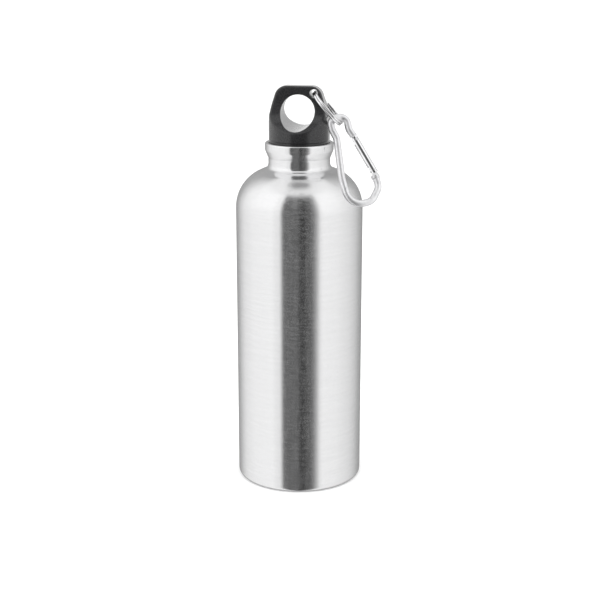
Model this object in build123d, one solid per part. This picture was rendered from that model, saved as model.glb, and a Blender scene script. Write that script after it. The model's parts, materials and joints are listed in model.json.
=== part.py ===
from build123d import *
import os
from math import cos, radians, sin, sqrt, tan

# Single-wall steel canteen: a drawn steel bottle, a screw cap with a carrying loop,
# a split ring through the loop's corner and a snap carabiner hanging on the ring.
# Origin: centre of the flat base.  +Z up, -Y is the front.  Millimetres.

# ---- Bottle --------------------------------------------------------------------
BODY_R = 37.5
WALL = 0.6
FOOT_CORNER_R = 2.5
FOOT_EDGE_R = 32.0
SHOULDER_R = 23.5
SHOULDER_Z = 166.75
SHOULDER_PITCH_DEG = 23.75
NECK_R = 18.15
NECK_FILLET_R = 3.6
NECK_WAIST_Z = 196.2
LIP_R = 20.1
LIP_FLARE_Z = 200.8
LIP_FLARE_R = 3.0
LIP_TOP_Z = 205.3
LIP_BORE_R = 17.9
LIP_ROLL_R = 1.05
CURL_END_Z = 203.4
BASE_DISC_T = 0.8
BASE_RIM_R = 35.0
BASE_FLAT_R = 26.0
BASE_STEP = 2.0
BASE_BEND_R = 1.0

# ---- Screw thread between neck and cap -----------------------------------------
PITCH = 4.5
RIDGE_DEPTH = 1.0
RIDGE_ROOT_W = 1.8
RIDGE_CREST_W = 1.0
THREAD_GAP = 0.4
SINK = 0.2
INSERT_BOTTOM_Z = 189.5
INSERT_TOP_Z = 203.2
INSERT_THREAD_TURNS = 1.5
PLUG_R = 13.9
PLUG_WALL = 1.7
PLUG_BOTTOM_Z = 191.2
PLUG_THREAD_Z = 192.5
PLUG_THREAD_TURNS = 1.75
INSERT_THREAD_Z = PLUG_THREAD_Z + PITCH / 2
SEAL_T = 1.0
SEAL_R = 17.2
CAP_Z = INSERT_TOP_Z + SEAL_T
INSERT_FIT = 0.03
INSERT_R = NECK_R - WALL - INSERT_FIT
INSERT_BORE_R = PLUG_R + RIDGE_DEPTH + THREAD_GAP

# ---- Cap with carrying loop ----------------------------------------------------
CAP_YAW_DEG = -10.0
CAP_TOP_Z = 238.0
FLANGE_R = 17.5
FLANGE_T = 2.6
FLANGE_EDGE_R = 0.6
SKIRT_R = 17.9
SKIRT_Z = CAP_Z + FLANGE_T
LOOP_OUTLINE = [(19.1, SKIRT_Z), (15.7, 227.0), (12.3, CAP_TOP_Z)]
LOOP_SIDE_R = 40.0
LOOP_CORNER_R = 7.0
LOOP_HALF_T_TOP = 4.3
SCOOP_BEND = (5.5, 221.9)
SCOOP_FOOT = (SKIRT_R, 212.2)
SCOOP_R = 22.0
FINGER_HOLE_R = 10.0
FINGER_HOLE_Z = 223.1
RING_HOLE_R = 2.45
RING_HOLE_X = 9.1
RING_HOLE_Z = 233.8
LOOP_EDGE_R = 1.5
FINGER_RIM_R = 0.8
RING_HOLE_RIM_R = 0.4

# ---- Split ring ----------------------------------------------------------------
RING_R = 11.75
RING_WIRE_R = 0.7
RING_STEP = 1.38
RING_DROP_DEG = 48.75
RING_TWIST_DEG = -4.9
RING_SEAT = 0.4

# ---- Carabiner -----------------------------------------------------------------
# Drawn in its own plane: x across, y up along its length, the top rod's centre at 0, 0.
ROD_R = 2.05
LEAN_RIGHT_DEG = 17.0
LEAN_FRONT_DEG = 22.2
TURN_DEG = -22.5
ROD_OFF_WIRE = 0.85
ROD_ALONG_RING_DEG = 30.0
FRAME_SHIFT = 1.8
FRAME_LINE = [(6.1, -12.6), (4.6, -8.6), (5.0, 0.0), (-5.2, 0.0), (-5.5, -6.6), (-4.3, -12.0),
              (-8.2, -36.0), (-7.9, -52.3), (5.6, -52.4), (12.4, -45.0), (11.9, -37.5)]
FRAME_BENDS = [4.0, 4.2, 4.4, 6.0, 6.0, 40.0, 8.5, 7.0, 7.0]
HINGE = (6.6, -15.2)
GATE_LENGTH = 22.0
GATE_YAW_DEG = 15.0
GATE_R = 2.1
FORK_SLOT_W = 1.9
FORK_SLOT_DEPTH = 2.3
TONGUE_T = 1.3
TONGUE_W = 2.8
HINGE_TONGUE_LENGTH = 4.0
NOSE_R = 2.45
NOSE_LENGTH = 2.6
NOSE_EDGE_R = 0.8
RIVET_R = 0.6
RIVET_HEAD_R = 1.05
RIVET_HEAD_T = 0.4
PIVOT_GAP = 0.05
LATCH_PIN_R = 0.45
LATCH_PIN_BACK = 1.8
LATCH_NOTCH_R = 0.85
LATCH_REACH = 3.6
LATCH_SLOT_DEPTH = 4.4
GATE_BORE_R = 1.0
GATE_BORE_DEPTH = 9.0
SPRING_WIRE_R = 0.16
SPRING_COILS = 6
PLUNGER_LENGTH = 2.6
PLUNGER_GAP = 0.12
PLUNGER_EDGE_R = 0.24

# ---- Shared --------------------------------------------------------------------
PAST = 60.0
SMALL = 0.01
ON_BASE = (Align.CENTER, Align.CENTER, Align.MIN)


def bent_sheet(points, bends, thickness, side):
    """Sheet metal turned about Z: a bent line of (radius, z) points given a thickness."""
    line = Plane.XZ * FilletPolyline(*points, radius=bends)
    return revolve(make_face(offset(line, thickness, side=side)), Axis.Z)


def turned(points):
    """Closed outline of (radius, z) points turned about Z."""
    return revolve(make_face(Plane.XZ * Polyline(*points, close=True)), Axis.Z)


def tube(outer_r, inner_r, low_z, high_z):
    return turned([(inner_r, low_z), (outer_r, low_z), (outer_r, high_z), (inner_r, high_z)])


def thread_ridge(root_r, depth, turns, start_z):
    """Helical ridge on a wall of radius root_r; a negative depth points inwards."""
    path = Helix(PITCH, PITCH * turns, root_r, center=(0, 0, start_z))
    start = Plane(path @ 0, x_dir=(1, 0, 0), z_dir=path % 0)
    back = -SINK if depth > 0 else SINK
    half_root = RIDGE_ROOT_W / 2
    half_crest = RIDGE_CREST_W / 2
    outline = Polyline((back, -half_root), (0, -half_root), (depth, -half_crest),
                       (depth, half_crest), (0, half_root), (back, half_root), close=True)
    return sweep(start * make_face(outline), path=path, is_frenet=True)


# ---- Bottle --------------------------------------------------------------------
def make_bottle_shell():
    shoulder_turn = radians(90 - SHOULDER_PITCH_DEG)
    corner_z = SHOULDER_Z + SHOULDER_R * tan(shoulder_turn / 2)
    neck_z = corner_z + (BODY_R - NECK_R) * tan(radians(SHOULDER_PITCH_DEG))
    points = [(FOOT_EDGE_R, 0), (BODY_R, 0), (BODY_R, corner_z), (NECK_R, neck_z),
              (NECK_R, NECK_WAIST_Z), (LIP_R, LIP_FLARE_Z), (LIP_R, LIP_TOP_Z),
              (LIP_BORE_R, LIP_TOP_Z), (LIP_BORE_R, CURL_END_Z)]
    bends = [FOOT_CORNER_R, SHOULDER_R, NECK_FILLET_R, LIP_FLARE_R, LIP_FLARE_R,
             LIP_ROLL_R, LIP_ROLL_R]
    return bent_sheet(points, bends, WALL, Side.RIGHT)


def make_base_disc():
    """Pressed disc welded inside the rolled foot: a raised rim and a flat middle."""
    points = [(0, 0), (BASE_FLAT_R, 0), (BASE_FLAT_R + BASE_STEP, BASE_STEP),
              (FOOT_EDGE_R - BASE_STEP, BASE_STEP), (FOOT_EDGE_R, WALL), (BASE_RIM_R, WALL)]
    bends = [BASE_BEND_R] * (len(points) - 2)
    return bent_sheet(points, bends, BASE_DISC_T, Side.LEFT)


def make_neck_insert():
    body = tube(INSERT_R, INSERT_BORE_R, INSERT_BOTTOM_Z, INSERT_TOP_Z)
    ridge = thread_ridge(INSERT_BORE_R, -RIDGE_DEPTH, INSERT_THREAD_TURNS, INSERT_THREAD_Z)
    return body + ridge


# ---- Cap -----------------------------------------------------------------------
def make_seal_ring():
    return tube(SEAL_R, PLUG_R + THREAD_GAP, INSERT_TOP_Z, CAP_Z)


def make_cap_plug():
    """Hollow threaded plug, open below, that hangs under the cap."""
    cup = Pos(0, 0, PLUG_BOTTOM_Z) * Cylinder(PLUG_R, CAP_Z - PLUG_BOTTOM_Z, align=ON_BASE)
    hollow = Pos(0, 0, PLUG_BOTTOM_Z) * Cylinder(PLUG_R - PLUG_WALL,
                                                 CAP_Z - PLUG_BOTTOM_Z - PLUG_WALL, align=ON_BASE)
    ridge = thread_ridge(PLUG_R, RIDGE_DEPTH, PLUG_THREAD_TURNS, PLUG_THREAD_Z)
    return cup - hollow + ridge


def loop_outline():
    """Front outline of the cap above the flange, in the XZ plane."""
    right = FilletPolyline(*LOOP_OUTLINE, (0, CAP_TOP_Z), radius=[LOOP_SIDE_R, LOOP_CORNER_R])
    left = mirror(right, Plane.YZ)
    base = Line(left @ 0, right @ 0)
    return Plane.XZ * make_face(right.edges() + left.edges() + base.edges())


def scoop():
    """What is cut away in front of the loop: a hollow sweep that runs out to the skirt's edge."""
    sweep = FilletPolyline((LOOP_HALF_T_TOP, CAP_TOP_Z), SCOOP_BEND, SCOOP_FOOT, radius=SCOOP_R)
    outside = Polyline(SCOOP_FOOT, (PAST, SCOOP_FOOT[1]), (PAST, CAP_TOP_Z), (LOOP_HALF_T_TOP, CAP_TOP_Z))
    return extrude(Plane.YZ * make_face(sweep.edges() + outside.edges()), PAST, both=True)


def make_cap_loop():
    """Moulded cap: round flange, skirt and the flat loop that is carved out of it."""
    block = extrude(loop_outline(), SKIRT_R, both=True)
    block &= Pos(0, 0, SKIRT_Z) * Cylinder(SKIRT_R, CAP_TOP_Z - SKIRT_Z, align=ON_BASE)
    front = scoop()
    block -= [front, mirror(front, Plane.XZ)]
    block = fillet(block.edges().filter_by(lambda e: e.center().Z > SKIRT_Z + SMALL), LOOP_EDGE_R)
    block -= Pos(0, 0, FINGER_HOLE_Z) * Rot(90, 0, 0) * Cylinder(FINGER_HOLE_R, PAST)
    block = round_hole_rims(block, FINGER_HOLE_R, FINGER_RIM_R)
    block -= Pos(RING_HOLE_X, 0, RING_HOLE_Z) * Rot(90, 0, 0) * Cylinder(RING_HOLE_R, PAST)
    block = round_hole_rims(block, RING_HOLE_R, RING_HOLE_RIM_R)
    flange = Pos(0, 0, CAP_Z) * Cylinder(FLANGE_R, FLANGE_T, align=ON_BASE)
    flange = fillet(flange.edges().filter_by(GeomType.CIRCLE), FLANGE_EDGE_R)
    return Rot(0, 0, CAP_YAW_DEG) * (block + flange)


def round_hole_rims(block, hole_r, rim_r):
    """Round both rims of the hole that has this radius."""
    round_faces = block.faces().filter_by(GeomType.CYLINDER)
    walls = [f for f in round_faces if abs(f.radius - hole_r) < SMALL]
    rims = [e for wall in walls for e in wall.edges() if e.geom_type != GeomType.LINE]
    return fillet(rims, rim_r)


# ---- Split ring ----------------------------------------------------------------
def ring_hole_centre():
    return (Rot(0, 0, CAP_YAW_DEG) * Pos(RING_HOLE_X, 0, RING_HOLE_Z)).position


def ring_plane():
    """Plane of the ring: X points from the cap's hole to the ring's far end."""
    across = Vector(1, 0, 0).rotate(Axis.Z, CAP_YAW_DEG)
    drop = radians(RING_DROP_DEG)
    outward = across * cos(drop) - Vector(0, 0, sin(drop))
    normal = across * sin(drop) + Vector(0, 0, cos(drop))
    normal = normal.rotate(Axis((0, 0, 0), outward), RING_TWIST_DEG)
    centre = ring_hole_centre() + outward * (RING_R - RING_SEAT)
    return Plane(centre, x_dir=outward, z_dir=normal)


def make_split_ring():
    """Two turns of round wire lying on each other."""
    lower = Pos(0, 0, -RING_STEP / 2) * Torus(RING_R, RING_WIRE_R)
    upper = Pos(0, 0, RING_STEP / 2) * Torus(RING_R, RING_WIRE_R)
    return ring_plane() * (lower + upper)


# ---- Carabiner -----------------------------------------------------------------
def rod_in_ring():
    """Where the centre of the carabiner's top rod passes through the ring."""
    reach = RING_R - RING_WIRE_R - ROD_R - ROD_OFF_WIRE
    turn = radians(-ROD_ALONG_RING_DEG)
    return ring_plane().from_local_coords(Vector(reach * cos(turn), reach * sin(turn), 0))


def carabiner_plane():
    """X across, Y up the carabiner; X runs along the top rod."""
    right = radians(LEAN_RIGHT_DEG)
    front = radians(LEAN_FRONT_DEG)
    down = Vector(sin(right) * cos(front), -sin(front), -cos(right) * cos(front))
    across = down.cross(Vector(0, 1, 0)).normalized()
    across = across.rotate(Axis((0, 0, 0), down), TURN_DEG)
    origin = rod_in_ring() + across * FRAME_SHIFT
    return Plane(origin, x_dir=across, z_dir=down.cross(across))


def gate_frame():
    """Closed gate, in the carabiner's plane: origin on the hinge, -Y towards the latch."""
    return Pos(*HINGE, 0) * Rot(0, 0, GATE_YAW_DEG)


def y_rod(radius, low_y, high_y):
    return Pos(0, low_y, 0) * Rot(-90, 0, 0) * Cylinder(radius, high_y - low_y, align=ON_BASE)


def z_pin(radius, length, y=0.0):
    return Pos(0, y, 0) * Cylinder(radius, length)


def plate(low_y, high_y):
    """Flattened end of the rod that enters a slot of the gate."""
    flat = Rectangle(TONGUE_W, high_y - low_y, align=(Align.CENTER, Align.MIN))
    return extrude(Pos(0, low_y) * flat, TONGUE_T / 2, both=True)


def make_carabiner_frame():
    line = FilletPolyline(*FRAME_LINE, radius=FRAME_BENDS)
    rod = sweep(Plane(line @ 0, z_dir=line % 0) * Circle(ROD_R), path=line)
    nose = Cylinder(NOSE_R, NOSE_LENGTH, align=ON_BASE)
    nose = fillet(nose.edges().filter_by(GeomType.CIRCLE), NOSE_EDGE_R)
    rod += Plane(line @ 1, z_dir=-(line % 1)) * nose
    hinge_tongue = Pos(*HINGE, 0) * (plate(0, HINGE_TONGUE_LENGTH) + z_pin(TONGUE_W / 2, TONGUE_T))
    hinge_tongue -= Pos(*HINGE, 0) * z_pin(RIVET_R, PAST)
    latch_tongue = plate(-GATE_LENGTH - TONGUE_W, LATCH_REACH - GATE_LENGTH)
    pin_y = LATCH_PIN_BACK - GATE_LENGTH
    latch_tongue -= z_pin(LATCH_NOTCH_R, PAST, pin_y)
    latch_tongue -= Pos(-TONGUE_W / 2, pin_y, 0) * Box(TONGUE_W, 2 * LATCH_NOTCH_R, PAST)
    return carabiner_plane() * (rod + hinge_tongue + gate_frame() * latch_tongue)


def make_gate_rivet():
    shank = z_pin(RIVET_R, 2 * (GATE_R + PIVOT_GAP))
    head = Cylinder(RIVET_HEAD_R, RIVET_HEAD_T, align=ON_BASE)
    head = fillet(head.edges().group_by(Axis.Z)[-1], RIVET_HEAD_T - PIVOT_GAP)
    head = Pos(0, 0, GATE_R + PIVOT_GAP) * head
    return carabiner_plane() * gate_frame() * (shank + head + mirror(head, Plane.XY))


# ---- Gate ----------------------------------------------------------------------
def gate_slot(low_y, high_y):
    flat = Rectangle(PAST, high_y - low_y, align=(Align.CENTER, Align.MIN))
    return extrude(Pos(0, low_y) * flat, FORK_SLOT_W / 2, both=True)


def make_gate_arm():
    """Round arm, slotted at both ends and bored from the hinge end for its spring."""
    arm = y_rod(GATE_R, -GATE_LENGTH, GATE_R)
    arm -= Pos(0, GATE_R, 0) * Box(PAST, 2 * GATE_R, PAST)
    arm += y_rod(GATE_R, -GATE_R, GATE_R) & z_pin(GATE_R, PAST)
    arm -= gate_slot(-FORK_SLOT_DEPTH, 2 * GATE_R)
    arm -= gate_slot(-GATE_LENGTH - GATE_R, LATCH_SLOT_DEPTH - GATE_LENGTH)
    arm -= y_rod(GATE_BORE_R, -FORK_SLOT_DEPTH - GATE_BORE_DEPTH, 0)
    arm -= z_pin(RIVET_R + PIVOT_GAP, PAST)
    arm -= z_pin(LATCH_PIN_R, PAST, LATCH_PIN_BACK - GATE_LENGTH)
    return carabiner_plane() * gate_frame() * arm


def make_latch_pin():
    half_chord = sqrt(GATE_R ** 2 - LATCH_PIN_R ** 2)
    return carabiner_plane() * gate_frame() * z_pin(LATCH_PIN_R, 2 * half_chord,
                                                    LATCH_PIN_BACK - GATE_LENGTH)


def make_gate_plunger():
    """Small pusher in the gate's bore that bears on the hinge tongue."""
    high_y = -TONGUE_W / 2 - PIVOT_GAP
    plunger = y_rod(GATE_BORE_R - PLUNGER_GAP, high_y - PLUNGER_LENGTH, high_y)
    plunger = fillet(plunger.edges().group_by(Axis.Y)[-1], PLUNGER_EDGE_R)
    return carabiner_plane() * gate_frame() * plunger


def make_gate_spring():
    high_y = -TONGUE_W / 2 - PIVOT_GAP - PLUNGER_LENGTH - SPRING_WIRE_R
    low_y = -FORK_SLOT_DEPTH - GATE_BORE_DEPTH + SPRING_WIRE_R
    length = high_y - low_y
    coil_r = GATE_BORE_R - PLUNGER_GAP - SPRING_WIRE_R
    path = Helix(length / SPRING_COILS, length, coil_r)
    wire = Plane(path @ 0, z_dir=path % 0) * Circle(SPRING_WIRE_R)
    coil = Pos(0, low_y, 0) * Rot(-90, 0, 0) * sweep(wire, path=path, is_frenet=True)
    return carabiner_plane() * gate_frame() * coil


MAKERS = {
    "bottle_shell": make_bottle_shell,
    "base_disc": make_base_disc,
    "neck_insert": make_neck_insert,
    "seal_ring": make_seal_ring,
    "cap_plug": make_cap_plug,
    "cap_loop": make_cap_loop,
    "split_ring": make_split_ring,
    "carabiner_frame": make_carabiner_frame,
    "gate_rivet": make_gate_rivet,
    "gate_arm": make_gate_arm,
    "latch_pin": make_latch_pin,
    "gate_plunger": make_gate_plunger,
    "gate_spring": make_gate_spring,
}

os.makedirs("parts", exist_ok=True)
for node, make in MAKERS.items():
    export_step(make(), f"parts/{node}.step")
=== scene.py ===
import json
import math

import bmesh
import bpy
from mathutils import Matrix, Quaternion, Vector

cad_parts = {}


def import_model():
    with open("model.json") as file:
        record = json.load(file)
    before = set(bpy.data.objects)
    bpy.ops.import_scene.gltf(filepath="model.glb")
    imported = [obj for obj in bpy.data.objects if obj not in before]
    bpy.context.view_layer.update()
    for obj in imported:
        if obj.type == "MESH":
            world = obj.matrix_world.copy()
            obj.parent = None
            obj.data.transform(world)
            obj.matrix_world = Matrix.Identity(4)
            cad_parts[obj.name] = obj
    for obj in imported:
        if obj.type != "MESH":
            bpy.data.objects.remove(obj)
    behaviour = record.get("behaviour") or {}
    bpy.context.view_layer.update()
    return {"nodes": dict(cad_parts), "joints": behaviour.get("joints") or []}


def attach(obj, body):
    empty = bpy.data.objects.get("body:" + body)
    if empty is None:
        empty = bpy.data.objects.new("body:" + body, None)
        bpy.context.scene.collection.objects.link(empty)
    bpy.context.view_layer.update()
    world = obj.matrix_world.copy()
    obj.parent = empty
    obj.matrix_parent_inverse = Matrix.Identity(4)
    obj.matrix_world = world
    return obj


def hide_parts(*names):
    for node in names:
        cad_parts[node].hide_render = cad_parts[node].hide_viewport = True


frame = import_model()
nodes = frame["nodes"]

# Sizes are in metres unless a comment says otherwise.
# ---- Bottle: one drawn sheet of steel, round about Z --------------------------------
WALL = 0.0006
FOOT_OPENING_R = 0.032
FOOT_CORNER_R = 0.0025
BODY_R = 0.0375
SHOULDER_Z = 0.16675
SHOULDER_R = 0.0235
SHOULDER_PITCH = math.radians(23.75)
NECK_FILLET_R = 0.0036
NECK_R = 0.01815
NECK_WAIST_Z = 0.1962
LIP_R = 0.0201
LIP_FLARE_Z = 0.2008
LIP_FLARE_R = 0.003
LIP_TOP_Z = 0.2053
LIP_BORE_R = 0.0179
LIP_ROLL_R = 0.00105
CURL_END_Z = 0.2034
NECK_POLISH_Z = 0.1872  # above this height the steel is smoother

SEGMENTS = 256
QUARTER_STEPS = 14  # steps of an arc that turns a quarter
MIN_ARC_STEPS = 3
ROW_HEIGHT = 0.004  # longest step up a straight run

# ---- Split ring ---------------------------------------------------------------------
RING_R = 0.01175
RING_WIRE_R = 0.00066
RING_STEP = 0.00138  # from the middle of one turn to the middle of the next
RING_SEAT = 0.0004  # how far the wire lies back from the middle of its hole
RING_DROP = math.radians(48.75)
RING_TWIST = math.radians(-4.9)
RING_START = math.radians(100.0)  # where the wire begins, round from the ring's far side
RING_STEP_ARC = 0.9  # radians of wire in which it steps over to the other turn
RING_COIL_STEPS = 260
WIRE_SIDES = 20
WIRE_END_DOME = 0.12  # rounding at the cut ends, as a share of the wire's radius

# ---- Surface detail -----------------------------------------------------------------
NOISE_LOW = 0.3
NOISE_HIGH = 0.7
RELIEF_DEPTH = 0.0001

# Layers of streaks: (streaks a metre up the profile, how short they are, seed)
FINE_STREAKS = (2200.0, 2.5, 3.0)
WIDE_STREAKS = (600.0, 1.2, 11.0)
SCRATCHES = (1300.0, 9.0, 23.0)
WEAVE_STREAKS = (800.0, 6.0, 31.0)
STREAK_DETAIL = 3.0
STREAK_ROUGHNESS = 0.6
PROFILE_PER_RADIUS = 0.7  # how much of the way up the profile the radius counts for
MAIN_SHARE = 0.65  # of the first of two layers laid together
SCRATCH_RANGE = (0.4, 0.7)
SCRATCH_LEAST = 0.9  # shares of the metal's own roughness
SCRATCH_MOST = 1.2
STEEL_CLOUDS = 45.0
STEEL_CLOUD_ROUGH = 0.01
WEAVE_COLUMNS = 40.0
WEAVE_COLUMN_ROWS = 60.0
WEAVE_RANGE = (0.38, 0.64)
WEAVE_LEAST = 0.2  # share of the weave's strength between its marks
COARSE_DETAIL = 2.0
BRUSHED_ROUND_Z = 0.25  # a quarter turn: highlights stretch along Z, across the streaks

GRAIN_DETAIL = 4.0
GRAIN_TO_CLOUD = 8.0  # a cloud of tone is this much wider than the grain
GRAIN_TINT = 0.06
GRAIN_ROUGH_SPREAD = 0.15

# ---- Studio -------------------------------------------------------------------------
FLOOR_REACH = 30.0
COVE_Y = 2.0
COVE_R = 2.0
COVE_STEPS = 12
FLOOR_CLOUDS = 30.0
FLOOR_SHADES = (0.93, 0.95)

# Brightness of the light tent round the object: (degrees from the front towards +X, level)
TENT = [
    (-180, 0.34), (-150, 0.40), (-132, 0.70), (-118, 0.92),
    (-92, 1.04), (-50, 1.07), (-46, 0.98), (-36, 0.95),
    (-29.5, 0.12), (-3, 0.12), (2, 0.04), (9, 0.04), (13, 0.09), (20, 0.10), (26, 0.19),
    (33, 0.50), (38, 0.92), (44, 1.04), (72, 1.00), (104, 0.86),
    (124, 0.68), (140, 0.46), (158, 0.34), (180, 0.34),
]
TENT_FULL = 1.1  # the level that the top of the curve stands for
UPPER_GAIN = 1.14  # how much brighter the tent's wall is high up than low down
UPPER_RISE = (math.radians(-14), math.radians(25))
CEILING_RISE = (math.radians(50), math.radians(58))
CEILING_LEVEL = 1.0
OVERHEAD_RISE = (math.radians(72), math.radians(82))
OVERHEAD_LEVEL = 0.25

CAMERA_PLACE = (0.0, -0.760, 0.3215)
CAMERA_AIM = (0.0004, 0.0, 0.1093)
CAMERA_LENS = 78.42  # millimetres
CAMERA_SENSOR = 36.0  # millimetres
CAMERA_REACH = 50.0


# ---- Shader helpers -----------------------------------------------------------------
class Nodes:
    """Short way to write a node tree."""

    def __init__(self, tree):
        self.tree = tree
        self.tree.nodes.clear()

    def add(self, kind, inputs=None, **settings):
        node = self.tree.nodes.new(kind)
        for key, value in settings.items():
            setattr(node, key, value)
        for key, value in (inputs or {}).items():
            self.put(node, key, value)
        return node

    def put(self, node, key, value):
        if isinstance(value, bpy.types.NodeSocket):
            self.tree.links.new(value, node.inputs[key])
        else:
            node.inputs[key].default_value = value

    def math(self, operation, a, b=0.0, c=0.0):
        return self.add("ShaderNodeMath", {0: a, 1: b, 2: c}, operation=operation).outputs[0]

    def vector(self, x, y, z):
        return self.add("ShaderNodeCombineXYZ", {0: x, 1: y, 2: z}).outputs[0]

    def split(self, vector):
        return self.add("ShaderNodeSeparateXYZ", {0: vector}).outputs

    def place(self, kind="Object"):
        return self.add("ShaderNodeTexCoord").outputs[kind]

    def ramp(self, value, low, high, to_low=0.0, to_high=1.0):
        inputs = {"Value": value, "From Min": low, "From Max": high, "To Min": to_low, "To Max": to_high}
        return self.add("ShaderNodeMapRange", inputs, interpolation_type="SMOOTHSTEP").outputs[0]

    def noise(self, vector, scale, detail=3.0, roughness=0.5):
        inputs = {"Vector": vector, "Scale": scale, "Detail": detail, "Roughness": roughness}
        return self.add("ShaderNodeTexNoise", inputs).outputs["Fac"]

    # A Mix node's sockets go by number: its inputs for numbers and for colours have the same names.
    def mix_colours(self, factor, a, b):
        return self.add("ShaderNodeMix", {0: factor, 6: a, 7: b}, data_type="RGBA").outputs[2]

    def mix_numbers(self, factor, a, b):
        return self.add("ShaderNodeMix", {0: factor, 2: a, 3: b}, data_type="FLOAT").outputs[0]


def new_material(name):
    material = bpy.data.materials.new(name)
    material.use_nodes = True
    tree = Nodes(material.node_tree)
    shader = tree.add("ShaderNodeBsdfPrincipled")
    output = tree.add("ShaderNodeOutputMaterial")
    tree.put(output, "Surface", shader.outputs[0])
    return material, tree, shader


def grey(level):
    return (level, level, level, 1.0)


def tone(tree, factor, base, spread):
    """The base colour, from a little darker to a little lighter as the factor rises."""
    low = tuple(c * (1.0 - spread) for c in base) + (1.0,)
    high = tuple(min(1.0, c * (1.0 + spread)) for c in base) + (1.0,)
    return tree.mix_colours(tree.ramp(factor, NOISE_LOW, NOISE_HIGH), low, high)


def relief(tree, shader, height, strength):
    inputs = {"Height": height, "Strength": strength, "Distance": RELIEF_DEPTH}
    tree.put(shader, "Normal", tree.add("ShaderNodeBump", inputs).outputs[0])


def together(tree, main, rest):
    """Two layers of noise laid together, the first the stronger."""
    return tree.math("MULTIPLY_ADD", main, MAIN_SHARE, tree.math("MULTIPLY", rest, 1.0 - MAIN_SHARE))


class RoundPlace:
    """Where a point lies on a piece that is round about Z."""

    def __init__(self, tree):
        self.tree = tree
        x, y, self.z = tree.split(tree.place())
        angle = tree.math("ARCTAN2", y, x)
        self.cosine = tree.math("COSINE", angle)
        self.sine = tree.math("SINE", angle)
        squares = tree.math("ADD", tree.math("MULTIPLY", x, x), tree.math("MULTIPLY", y, y))
        radius = tree.math("SQRT", squares)
        self.profile = tree.math("ADD", self.z, tree.math("MULTIPLY", radius, PROFILE_PER_RADIUS))

    def at(self, spread, height):
        x = self.tree.math("MULTIPLY", self.cosine, spread)
        y = self.tree.math("MULTIPLY", self.sine, spread)
        return self.tree.vector(x, y, height)

    def streaks(self, layer):
        """Noise drawn out into lines that run around the axis."""
        lines, shortness, seed = layer
        height = self.tree.math("MULTIPLY_ADD", self.profile, lines, seed)
        return self.tree.noise(self.at(shortness, height), 1.0, STREAK_DETAIL, STREAK_ROUGHNESS)

    def columns(self):
        """Noise of short upright marks."""
        height = self.tree.math("MULTIPLY", self.z, WEAVE_COLUMN_ROWS)
        return self.tree.noise(self.at(WEAVE_COLUMNS, height), 1.0, COARSE_DETAIL)


def brushed_roughness(tree, spot, rough):
    least = rough * SCRATCH_LEAST
    most = rough * SCRATCH_MOST
    scratched = tree.ramp(spot.streaks(SCRATCHES), *SCRATCH_RANGE, least, most)
    clouds = tree.noise(tree.place(), STEEL_CLOUDS)
    clouded = tree.ramp(clouds, NOISE_LOW, NOISE_HIGH, -STEEL_CLOUD_ROUGH, STEEL_CLOUD_ROUGH)
    return tree.math("ADD", scratched, clouded)


def woven_metallic(tree, spot, weave):
    """Crossing marks that are a little less metallic, so they show where the metal mirrors dark."""
    marks = together(tree, spot.streaks(WEAVE_STREAKS), spot.columns())
    return tree.ramp(marks, *WEAVE_RANGE, 1.0 - WEAVE_LEAST * weave, 1.0 - weave)


def brushed_round(name, base, rough, streak, bump, anisotropy=0.75, weave=0.0):
    """Metal brushed around Z: long fine streaks that run around the axis."""
    material, tree, shader = new_material(name)
    spot = RoundPlace(tree)
    streaks = together(tree, spot.streaks(WIDE_STREAKS), spot.streaks(FINE_STREAKS))
    tree.put(shader, "Base Color", tone(tree, streaks, base, streak))
    tree.put(shader, "Roughness", brushed_roughness(tree, spot, rough))
    tree.put(shader, "Metallic", woven_metallic(tree, spot, weave) if weave else 1.0)
    shader.inputs["Anisotropic"].default_value = anisotropy
    shader.inputs["Anisotropic Rotation"].default_value = BRUSHED_ROUND_Z
    tangent = tree.add("ShaderNodeTangent", direction_type="RADIAL", axis="Z")
    tree.put(shader, "Tangent", tangent.outputs[0])
    relief(tree, shader, streaks, bump)
    return material


def grained(name, base, rough, grain, metallic=0.0, bump=0.05, **sockets):
    """Moulded or tumbled surface: fine grain in roughness and relief, wider clouds of tone."""
    material, tree, shader = new_material(name)
    fine = tree.noise(tree.place(), grain, GRAIN_DETAIL)
    cloud = tree.noise(tree.place(), grain / GRAIN_TO_CLOUD, COARSE_DETAIL)
    tree.put(shader, "Base Color", tone(tree, cloud, base, GRAIN_TINT))
    least = rough * (1.0 - GRAIN_ROUGH_SPREAD)
    most = rough * (1.0 + GRAIN_ROUGH_SPREAD)
    tree.put(shader, "Roughness", tree.ramp(fine, NOISE_LOW, NOISE_HIGH, least, most))
    shader.inputs["Metallic"].default_value = metallic
    for key, value in sockets.items():
        shader.inputs[key.replace("_", " ")].default_value = value
    relief(tree, shader, fine, bump)
    return material


# ---- Mesh helpers -------------------------------------------------------------------
def rounded(points, radii):
    """(radius, z) points with each inner corner turned into an arc."""
    line = [Vector(points[0])]
    for before, corner, after, radius in zip(points, points[1:], points[2:], radii):
        before, corner, after = Vector(before), Vector(corner), Vector(after)
        back = (before - corner).normalized()
        ahead = (after - corner).normalized()
        half = back.angle(ahead) / 2
        reach = radius / math.tan(half)
        centre = corner + (back + ahead).normalized() * (radius / math.sin(half))
        start = corner + back * reach - centre
        end = corner + ahead * reach - centre
        turn = start.angle_signed(end)
        steps = max(MIN_ARC_STEPS, int(QUARTER_STEPS * abs(turn) / (math.pi / 2)) + 2)
        for i in range(steps + 1):
            spin = -turn * i / steps
            c, s = math.cos(spin), math.sin(spin)
            line.append(centre + Vector((start.x * c - start.y * s, start.x * s + start.y * c)))
    line.append(Vector(points[-1]))
    return line


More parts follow.
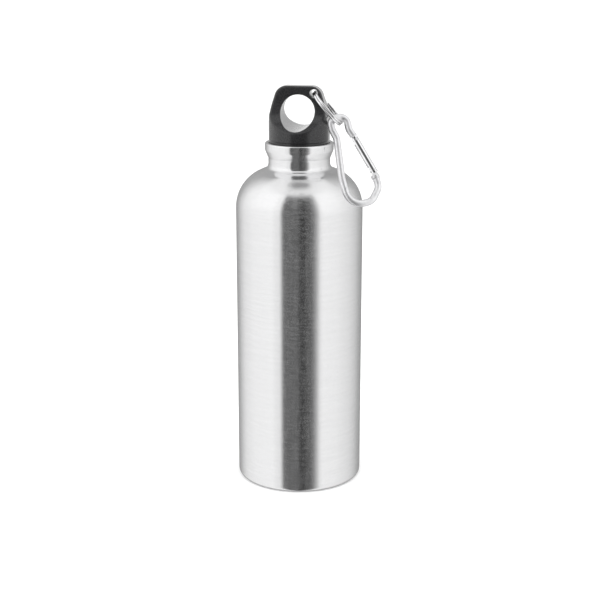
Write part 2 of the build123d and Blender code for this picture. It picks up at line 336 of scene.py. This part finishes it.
def divided(line, longest):
    """The same line with points added on its long runs."""
    dense = []
    for a, b in zip(line, line[1:]):
        steps = max(1, int((b - a).length / longest))
        dense += [a.lerp(b, i / steps) for i in range(steps)]
    return dense + [line[-1]]


def directions(line):
    """Direction of a line at each of its points."""
    earlier = line[:1] + line
    later = line[1:] + line[-1:]
    return [(after - before).normalized() for before, after in zip(earlier, later)]


def offset(line, distance):
    """The same line moved sideways, to the left of its direction."""
    return [p + Vector((-along.y, along.x)) * distance for p, along in zip(line, directions(line))]


def around(count):
    """Angles of a full turn in equal steps."""
    return [2 * math.pi * i / count for i in range(count)]


def skin(bm, rings):
    """Smooth faces between each ring of vertices and the next."""
    for low, high in zip(rings, rings[1:]):
        for i in range(len(low)):
            j = (i + 1) % len(low)
            bm.faces.new((low[i], low[j], high[j], high[i])).smooth = True


def mesh_object(name, bm, material):
    mesh = bpy.data.meshes.new(name)
    bm.to_mesh(mesh)
    bm.free()
    mesh.materials.append(material)
    obj = bpy.data.objects.new(name, mesh)
    bpy.context.scene.collection.objects.link(obj)
    return obj


def lathe(name, outline, material):
    """Closed outline of (radius, z) turned about Z."""
    bm = bmesh.new()
    rings = []
    for radius, z in outline:
        corners = [(radius * math.cos(a), radius * math.sin(a), z) for a in around(SEGMENTS)]
        rings.append([bm.verts.new(corner) for corner in corners])
    skin(bm, rings + rings[:1])
    bmesh.ops.recalc_face_normals(bm, faces=bm.faces)
    return mesh_object(name, bm, material)


def wire_stations(path, radius):
    """(point, direction, side, radius) along a wire, with a slight dome at each end."""
    tangents = directions(path)
    side = tangents[0].orthogonal().normalized()
    stations = []
    for point, along in zip(path, tangents):
        side = (side - along * side.dot(along)).normalized()
        stations.append((point, along, side, radius))
    dome = WIRE_END_DOME * radius
    point, along, side = stations[0][:3]
    start = (point - along * dome, along, side, radius - dome)
    point, along, side = stations[-1][:3]
    end = (point + along * dome, along, side, radius - dome)
    return [start] + stations + [end]


def wire(name, path, radius, material):
    """Round wire along a list of points."""
    bm = bmesh.new()
    rings = []
    for point, along, side, size in wire_stations(path, radius):
        other = along.cross(side)
        spokes = [side * math.cos(a) + other * math.sin(a) for a in around(WIRE_SIDES)]
        rings.append([bm.verts.new(point + spoke * size) for spoke in spokes])
    skin(bm, rings)
    bm.faces.new(rings[0][::-1])
    bm.faces.new(rings[-1])
    bmesh.ops.recalc_face_normals(bm, faces=bm.faces)
    return mesh_object(name, bm, material)


# ---- Materials ----------------------------------------------------------------------
STEEL = brushed_round("steel_brushed", (0.80, 0.80, 0.805), rough=0.20, streak=0.02, bump=0.10,
                      anisotropy=0.85, weave=0.065)
NECK_STEEL = brushed_round("steel_neck", (0.80, 0.80, 0.805), rough=0.12, streak=0.02, bump=0.08,
                           anisotropy=0.5, weave=0.06)
BASE_STEEL = brushed_round("steel_base", (0.66, 0.66, 0.67), rough=0.42, streak=0.08, bump=0.3)
BLACK = grained("plastic_black", (0.017, 0.017, 0.018), rough=0.28, grain=1600.0, bump=0.02,
                Specular_IOR_Level=0.25, Coat_Weight=1.0, Coat_IOR=1.36, Coat_Roughness=0.04)
INSERT = grained("plastic_grey", (0.6, 0.61, 0.62), rough=0.5, grain=900.0)
SEAL = grained("rubber_black", (0.015, 0.015, 0.016), rough=0.7, grain=1500.0, bump=0.2)
CHROME = grained("ring_chrome", (0.85, 0.85, 0.86), rough=0.04, grain=1200.0, metallic=1.0)
ALUMINIUM = grained("aluminium_satin", (0.83, 0.83, 0.84), rough=0.40, grain=2200.0, metallic=0.88,
                    bump=0.2)
GATE = grained("aluminium_gate", (0.86, 0.86, 0.87), rough=0.10, grain=2200.0, metallic=1.0, bump=0.15)
PIN = grained("steel_pin", (0.7, 0.7, 0.71), rough=0.25, grain=2200.0, metallic=1.0)

NODE_MATERIALS = {
    "base_disc": BASE_STEEL,
    "neck_insert": INSERT,
    "seal_ring": SEAL,
    "cap_plug": BLACK,
    "cap_loop": BLACK,
    "split_ring": CHROME,
    "carabiner_frame": ALUMINIUM,
    "gate_rivet": PIN,
    "gate_arm": GATE,
    "latch_pin": PIN,
    "gate_plunger": PIN,
    "gate_spring": PIN,
}
# The shoulder's steel would mirror these as a jagged line.
NOT_MIRRORED = ("carabiner_frame", "gate_arm", "gate_rivet", "gate_plunger")


def finish_nodes():
    for name, material in NODE_MATERIALS.items():
        mesh = nodes[name].data
        mesh.materials.clear()
        mesh.materials.append(material)
        for polygon in mesh.polygons:
            polygon.use_smooth = True
    for name in NOT_MIRRORED:
        nodes[name].visible_glossy = False


# ---- Pieces -------------------------------------------------------------------------
def bottle():
    corner_z = SHOULDER_Z + SHOULDER_R * math.tan((math.pi / 2 - SHOULDER_PITCH) / 2)
    neck_z = corner_z + (BODY_R - NECK_R) * math.tan(SHOULDER_PITCH)
    points = [(FOOT_OPENING_R, 0), (BODY_R, 0), (BODY_R, corner_z), (NECK_R, neck_z),
              (NECK_R, NECK_WAIST_Z), (LIP_R, LIP_FLARE_Z), (LIP_R, LIP_TOP_Z),
              (LIP_BORE_R, LIP_TOP_Z), (LIP_BORE_R, CURL_END_Z)]
    bends = [FOOT_CORNER_R, SHOULDER_R, NECK_FILLET_R, LIP_FLARE_R, LIP_FLARE_R, LIP_ROLL_R, LIP_ROLL_R]
    outer = divided(rounded(points, bends), ROW_HEIGHT)
    inner = offset(outer, WALL)
    obj = lathe("steel_bottle", outer + inner[::-1], STEEL)
    obj.data.materials.append(NECK_STEEL)
    for polygon in obj.data.polygons:
        if polygon.center.z > NECK_POLISH_Z:
            polygon.material_index = 1
    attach(obj, "bottle")
    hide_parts("bottle_shell")


def ring_path():
    """Middle of the wire, twice round, with the step from one turn to the other half way."""
    joint = next(j for j in frame["joints"] if j["name"] == "ring_swing")
    hole = Vector(joint["pos_m"])
    up = Vector((0.0, 0.0, 1.0))
    across = up.cross(Vector(joint["axis"]))
    outward = across * math.cos(RING_DROP) - up * math.sin(RING_DROP)
    normal = across * math.sin(RING_DROP) + up * math.cos(RING_DROP)
    normal.rotate(Quaternion(outward, RING_TWIST))
    centre = hole + outward * (RING_R - RING_SEAT)
    other = normal.cross(outward)
    path = []
    for i in range(RING_COIL_STEPS + 1):
        turn = 4 * math.pi * i / RING_COIL_STEPS
        angle = turn + RING_START
        stepped = min(max((turn - 2 * math.pi) / RING_STEP_ARC + 0.5, 0.0), 1.0)
        rise = (stepped * stepped * (3 - 2 * stepped) - 0.5) * RING_STEP
        spoke = (outward * math.cos(angle) + other * math.sin(angle)) * RING_R
        path.append(centre + spoke + normal * rise)
    return path


def split_ring():
    """Sprung wire coiled twice round, with the step between its turns and its two cut ends."""
    obj = wire("split_ring_coil", ring_path(), RING_WIRE_R, CHROME)
    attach(obj, "ring")
    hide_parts("split_ring")


# ---- Studio -------------------------------------------------------------------------
def floor_material():
    material, tree, shader = new_material("floor_white")
    darker, lighter = FLOOR_SHADES
    clouds = tree.noise(tree.place(), FLOOR_CLOUDS)
    tree.put(shader, "Base Color", tree.mix_colours(clouds, grey(darker), grey(lighter)))
    shader.inputs["Roughness"].default_value = 0.9
    shader.inputs["Specular IOR Level"].default_value = 0.0
    return material


def studio():
    """Pale floor that curves up into a back wall."""
    profile = [(-FLOOR_REACH, 0.0), (COVE_Y, 0.0)]
    for i in range(1, COVE_STEPS + 1):
        a = math.pi / 2 * i / COVE_STEPS
        profile.append((COVE_Y + COVE_R * math.sin(a), COVE_R - COVE_R * math.cos(a)))
    profile.append((COVE_Y + COVE_R, FLOOR_REACH))
    bm = bmesh.new()
    rows = [[bm.verts.new((x, y, z)) for x in (-FLOOR_REACH, FLOOR_REACH)] for y, z in profile]
    for near, far in zip(rows, rows[1:]):
        bm.faces.new((near[0], near[1], far[1], far[0])).smooth = True
    floor = mesh_object("studio_floor", bm, floor_material())
    floor.visible_glossy = False


def tent_level(tree, side):
    """Brightness of the tent's wall in a direction, as a share of the full level."""
    curve = tree.add("ShaderNodeFloatCurve")
    tree.put(curve, "Value", tree.math("MULTIPLY_ADD", side, 0.5 / math.pi, 0.5))
    points = curve.mapping.curves[0].points
    spots = [((degrees + 180) / 360, level / TENT_FULL) for degrees, level in TENT]
    points[0].location = spots[0]
    points[1].location = spots[-1]
    for spot in spots[1:-1]:
        points.new(*spot)
    for point in points:
        point.handle_type = "VECTOR"
    curve.mapping.update()
    return curve.outputs[0]


def world():
    """Light tent: a wall with a dark panel in front, and a bright ceiling that is dim overhead."""
    sky = bpy.data.worlds.new("studio_world")
    bpy.context.scene.world = sky
    sky.use_nodes = True
    tree = Nodes(sky.node_tree)
    x, y, z = tree.split(tree.place("Generated"))
    side = tree.math("ARCTAN2", x, tree.math("MULTIPLY", y, -1.0))
    rise = tree.math("ARCSINE", z)
    full = tree.ramp(rise, *UPPER_RISE, TENT_FULL, TENT_FULL * UPPER_GAIN)
    wall = tree.math("MULTIPLY", tent_level(tree, side), full)
    ceiling = tree.ramp(rise, *OVERHEAD_RISE, CEILING_LEVEL, OVERHEAD_LEVEL)
    level = tree.mix_numbers(tree.ramp(rise, *CEILING_RISE), wall, ceiling)
    background = tree.add("ShaderNodeBackground", {"Color": grey(1.0), "Strength": level})
    output = tree.add("ShaderNodeOutputWorld")
    tree.put(output, "Surface", background.outputs[0])


def look_at(obj, place, aim):
    obj.location = place
    obj.rotation_euler = (Vector(aim) - Vector(place)).to_track_quat("-Z", "Y").to_euler()


def add_light(name, kind, power, mirrored=False):
    data = bpy.data.lights.new(name, kind)
    data.energy = power
    obj = bpy.data.objects.new(name, data)
    obj.visible_glossy = mirrored
    bpy.context.scene.collection.objects.link(obj)
    return obj


def area_light(name, place, aim, size, power, mirrored=False):
    obj = add_light(name, "AREA", power, mirrored)
    obj.data.shape = "RECTANGLE"
    obj.data.size, obj.data.size_y = size
    look_at(obj, place, aim)
    return obj


def top_light():
    area_light("light_top", place=(0.0, -0.3, 2.0), aim=(0.0, 0.0, 0.0), size=(2.0, 2.0), power=12.0)


def back_light():
    """Panel behind the object that lights only the cap, for the sheen inside its finger hole."""
    obj = area_light("light_back", place=(0.10, 0.6, 0.30), aim=(0.0, 0.0, 0.225), size=(0.9, 0.5),
                     power=0.78, mirrored=True)
    obj.visible_camera = False
    group = bpy.data.collections.new("lit_from_behind")
    group.objects.link(nodes["cap_loop"])
    obj.light_linking.receiver_collection = group


def fill_light():
    """Wide soft light from above and in front."""
    obj = add_light("light_fill", "SUN", power=1.6)
    obj.data.angle = math.radians(120)
    obj.rotation_euler = (math.radians(50), 0.0, 0.0)


def camera():
    data = bpy.data.cameras.new("camera")
    data.lens = CAMERA_LENS
    data.sensor_width = CAMERA_SENSOR
    data.clip_end = CAMERA_REACH
    obj = bpy.data.objects.new("camera", data)
    look_at(obj, CAMERA_PLACE, CAMERA_AIM)
    bpy.context.scene.collection.objects.link(obj)
    bpy.context.scene.camera = obj


finish_nodes()
bottle()
split_ring()
studio()
world()
top_light()
back_light()
fill_light()
camera()
bpy.context.scene.view_settings.view_transform = "Standard"
